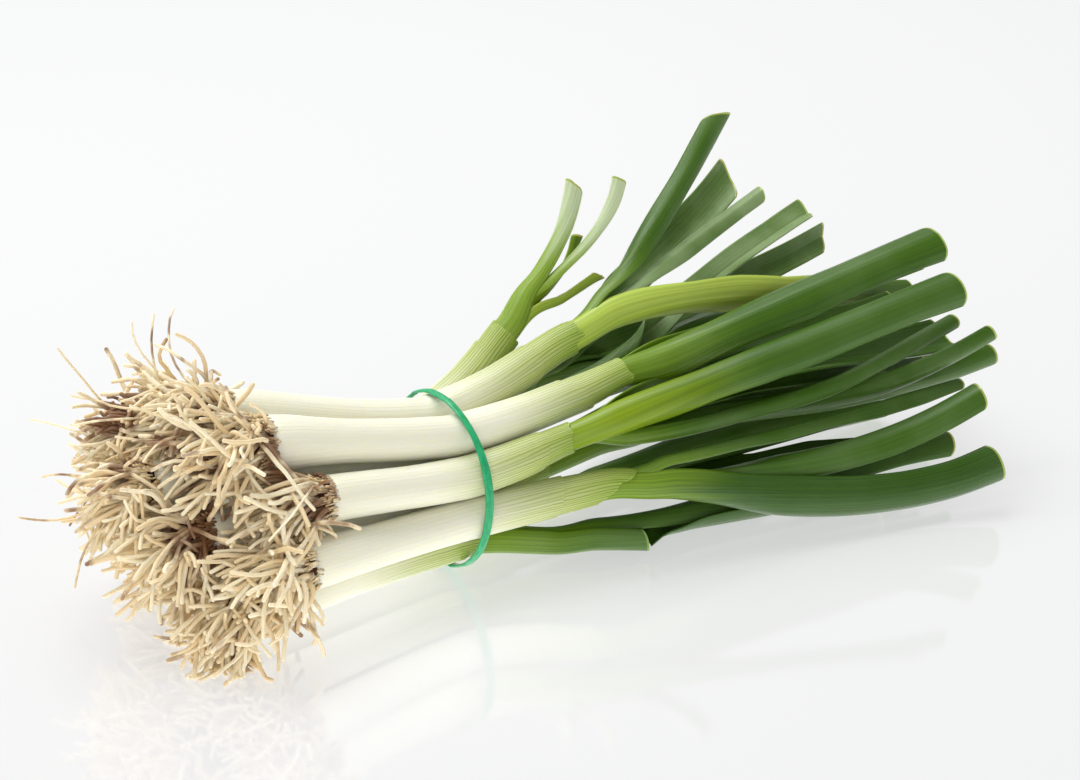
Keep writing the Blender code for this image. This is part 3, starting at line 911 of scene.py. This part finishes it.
def leek_skin(name, young, green, stops, ribs, rib_dark, rib_relief, bloom, rough, glow):
    """The skin of a shaft or a leaf, with ribs, streaks and a thin waxy bloom."""
    finish, tree, surface = new_finish(
        name,
        Subsurface_Weight=glow,
        Subsurface_Radius=(1.0, 0.9, 0.4),
        Subsurface_Scale=0.002,
        IOR=1.37,
    )
    colours = (rgb(*colour) for colour in (WHITE, PALE, young, green))
    values = dict(zip(GROWTH_COLOURS, colours)) | dict(zip(GROWTH_STOPS, stops))
    growth = add_node(tree, "ShaderNodeGroup", values, node_tree=GROWTH)
    streaks = add_node(tree, "ShaderNodeGroup", {"Across": 70.0, "Along": 1.0}, node_tree=STREAKS)
    rib = add_node(tree, "ShaderNodeGroup", {"Count": ribs}, node_tree=RIBS).outputs[0]
    mottle = add_node(tree, "ShaderNodeGroup", {"Size": 30.0}, node_tree=MOTTLE)
    greenness = growth.outputs["Greenness"]
    rib_share = times(tree, times(tree, rib, greenness), rib_dark)
    colour = mix_colours(
        tree, rib_share, growth.outputs["Colour"], rgb(158, 178, 80), "MULTIPLY"
    )
    streak_share = times(tree, times(tree, streaks.outputs["Veins"], greenness), 0.35)
    colour = mix_colours(tree, streak_share, colour, rgb(186, 204, 120), "MULTIPLY")
    broad_share = times(tree, times(tree, streaks.outputs["Broad"], greenness), 0.3)
    colour = mix_colours(tree, broad_share, colour, rgb(150, 176, 92), "MULTIPLY")
    waxy_share = times(tree, times(tree, greenness, mottle.outputs["Blotches"]), bloom)
    colour = mix_colours(tree, waxy_share, colour, rgb(146, 166, 120))
    tree.links.new(colour, surface.inputs["Base Color"])
    roughness = ranged(tree, streaks.outputs["Broad"], 0.0, 1.0, rough - 0.05, rough + 0.1)
    tree.links.new(roughness, surface.inputs["Roughness"])
    height = math_node(tree, "ADD", times(tree, rib, greenness), streaks.outputs["Veins"])
    bump_from(tree, surface, height, rib_relief, 0.0002)
    return finish


def root_finish():
    """Cream roots, tan where they are older, and soiled near the base."""
    finish, tree, surface = new_finish(
        "pale root",
        Roughness=0.55,
        Subsurface_Weight=0.3,
        Subsurface_Radius=(1.0, 0.8, 0.5),
        Subsurface_Scale=0.0015,
    )
    marks = add_node(tree, "ShaderNodeUVMap", uv_map="marks")
    parts = add_node(tree, "ShaderNodeSeparateXYZ", {0: marks.outputs[0]})
    tone, along = parts.outputs[0], parts.outputs[1]
    mottle = add_node(tree, "ShaderNodeGroup", {"Size": 160.0}, node_tree=MOTTLE)
    cream = mix_colours(tree, tone, rgb(220, 190, 136), rgb(250, 240, 212))
    tan = math_node(tree, "MULTIPLY", mottle.outputs["Blotches"], 0.25)
    skin = mix_colours(tree, tan, cream, rgb(226, 196, 150))
    near_base = ranged(tree, along, 0.0, 0.45, 1.0, 0.0)
    soil = math_node(tree, "MULTIPLY", near_base, mottle.outputs["Blotches"])
    soil = math_node(tree, "ADD", soil, math_node(tree, "MULTIPLY", mottle.outputs["Specks"], 0.1))
    soiled = mix_colours(tree, soil, skin, rgb(116, 76, 42))
    clods = add_node(tree, "ShaderNodeGroup", {"Size": 38.0}, node_tree=MOTTLE)
    caked = ranged(tree, clods.outputs["Blotches"], 0.68, 1.0, 0.0, 0.9)
    soiled = mix_colours(tree, caked, soiled, rgb(120, 74, 38))
    tree.links.new(soiled, surface.inputs["Base Color"])
    bump_from(tree, surface, mottle.outputs["Specks"], 0.4, 0.0003)
    return finish


def soil_finish():
    """Dark crumbly soil and old root plate, with rusty patches."""
    finish, tree, surface = new_finish("soil", Roughness=0.9)
    fine = add_node(tree, "ShaderNodeGroup", {"Size": 420.0}, node_tree=MOTTLE)
    broad = add_node(tree, "ShaderNodeGroup", {"Size": 110.0}, node_tree=MOTTLE)
    colour = mix_colours(tree, fine.outputs["Blotches"], rgb(58, 34, 20), rgb(118, 76, 44))
    colour = mix_colours(tree, broad.outputs["Blotches"], colour, rgb(150, 86, 50), "OVERLAY")
    tree.links.new(colour, surface.inputs["Base Color"])
    bump_from(tree, surface, fine.outputs["Blotches"], 1.0, 0.001)
    return finish


def cut_edge_and_rim_shade_finish():
    """The pale moist edge of a leaf where it was cut. On the rims of a shaft's layers the same green is
    also painted shade, standing for the shadow in the ridge where a layer ends.
    """
    finish, tree, surface = new_finish("cut edge and painted rim shade", Roughness=0.3, Subsurface_Weight=0.2)
    mottle = add_node(tree, "ShaderNodeGroup", {"Size": 120.0}, node_tree=MOTTLE)
    colour = mix_colours(tree, mottle.outputs["Blotches"], rgb(140, 166, 80), rgb(108, 140, 56))
    tree.links.new(colour, surface.inputs["Base Color"])
    return finish


def band_finish():
    """Emerald green rubber with faint mould lines along it."""
    finish, tree, surface = new_finish(
        "green rubber", Subsurface_Weight=0.1, Subsurface_Scale=0.001, IOR=1.5
    )
    streaks = add_node(tree, "ShaderNodeGroup", {"Across": 9.0, "Along": 14.0}, node_tree=STREAKS)
    colour = mix_colours(tree, streaks.outputs["Veins"], rgb(8, 150, 92), rgb(34, 172, 112))
    tree.links.new(colour, surface.inputs["Base Color"])
    rough = ranged(tree, streaks.outputs["Broad"], 0.0, 1.0, 0.28, 0.46)
    tree.links.new(rough, surface.inputs["Roughness"])
    bump_from(tree, surface, streaks.outputs["Veins"], 0.3, 0.0002)
    return finish


def floor_finish():
    """A smooth, glossy white table top that also throws soft light up at the bunch."""
    finish, tree, surface = new_finish(
        "white table",
        Base_Color=(0.26, 0.262, 0.265, 1),
        Emission_Color=(1, 1, 1, 1),
        IOR=1.8,
    )
    mottle = add_node(tree, "ShaderNodeGroup", {"Size": 3.0}, node_tree=MOTTLE)
    rough = ranged(tree, mottle.outputs["Blotches"], 0.0, 1.0, 0.05, 0.08)
    tree.links.new(rough, surface.inputs["Roughness"])
    seen = add_node(tree, "ShaderNodeLightPath").outputs["Is Camera Ray"]
    glow = ranged(tree, seen, 0.0, 1.0, FLOOR_BOUNCE, FLOOR_GLOW)
    tree.links.new(glow, surface.inputs["Emission Strength"])
    return finish


# ---------------------------------------------------------------- stage


def make_floor():
    mesh = bpy.data.meshes.new("table_top")
    signs = ((-1, -1), (1, -1), (1, 1), (-1, 1))
    corners = [(x * FLOOR_REACH, y * FLOOR_REACH, 0) for x, y in signs]
    mesh.from_pydata(corners, [], [(0, 1, 2, 3)])
    mesh.materials.append(floor_finish())
    floor = bpy.data.objects.new("table_top", mesh)
    bpy.context.scene.collection.objects.link(floor)


def add_softbox(name, place, size, watts):
    light = bpy.data.lights.new(name, "AREA")
    light.shape = "RECTANGLE"
    light.size, light.size_y = size
    light.energy = watts
    lamp = bpy.data.objects.new(name, light)
    lamp.location = place
    lamp.rotation_euler = (Vector(place) - SOFTBOX_AIM).to_track_quat("Z", "Y").to_euler()
    bpy.context.scene.collection.objects.link(lamp)


def make_light():
    world = bpy.data.worlds.new("white studio")
    world.use_nodes = True
    sky = world.node_tree.nodes["Background"]
    sky.inputs["Color"].default_value = (1, 1, 1, 1)
    sky.inputs["Strength"].default_value = STUDIO_LIGHT
    bpy.context.scene.world = world
    for name, (place, size, watts) in SOFTBOXES.items():
        add_softbox(name, place, size, watts)


def make_camera():
    low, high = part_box("rubber_band")
    aim = (low + high) / 2 + AIM_FROM_BAND
    azimuth, elevation = math.radians(CAMERA_AZIMUTH_DEG), math.radians(CAMERA_ELEVATION_DEG)
    level = math.cos(elevation)
    back = (math.sin(azimuth) * level, -math.cos(azimuth) * level, math.sin(elevation))
    back = Vector(back)
    camera = bpy.data.objects.new("camera", bpy.data.cameras.new("camera"))
    camera.data.lens = CAMERA_LENS
    camera.data.sensor_width = 36.0
    camera.location = aim + back * CAMERA_DISTANCE
    camera.rotation_euler = back.to_track_quat("Z", "Y").to_euler()
    bpy.context.scene.collection.objects.link(camera)
    bpy.context.scene.camera = camera


# ---------------------------------------------------------------- the bunch

for existing in list(bpy.data.objects):
    bpy.data.objects.remove(existing)
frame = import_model()

STREAKS = streaks_group()
RIBS = ribs_group()
MOTTLE = mottle_group()
GROWTH = growth_group()
SHAFT_FINISH = leek_skin(
    "white shaft", (164, 184, 86), (140, 168, 66), SHEATH_STOPS, 40, 0.75, 0.4, 0.0, 0.3, 0.6
)
LEAF_FINISHES = {
    look: leek_skin(f"{look} leaf", young, green, PALE_STOPS + stops, *rest)
    for look, (young, green, stops, *rest) in LEAF_SKINS.items()
}
ROOT_FINISH = root_finish()
SOIL_FINISH = soil_finish()
CUT_EDGE_AND_RIM_SHADE_FINISH = cut_edge_and_rim_shade_finish()
BAND_FINISH = band_finish()

for leek in SHEATHS:
    shaft = Shaft(leek)
    make_shaft(leek, shaft)
    make_roots(leek, shaft)
    for node in sorted(frame["nodes"]):
        if node.startswith(f"{leek}_leaf_"):
            make_leaf(node, shaft)
make_band()
make_floor()
make_light()
make_camera()
bpy.context.scene.view_settings.view_transform = "Standard"
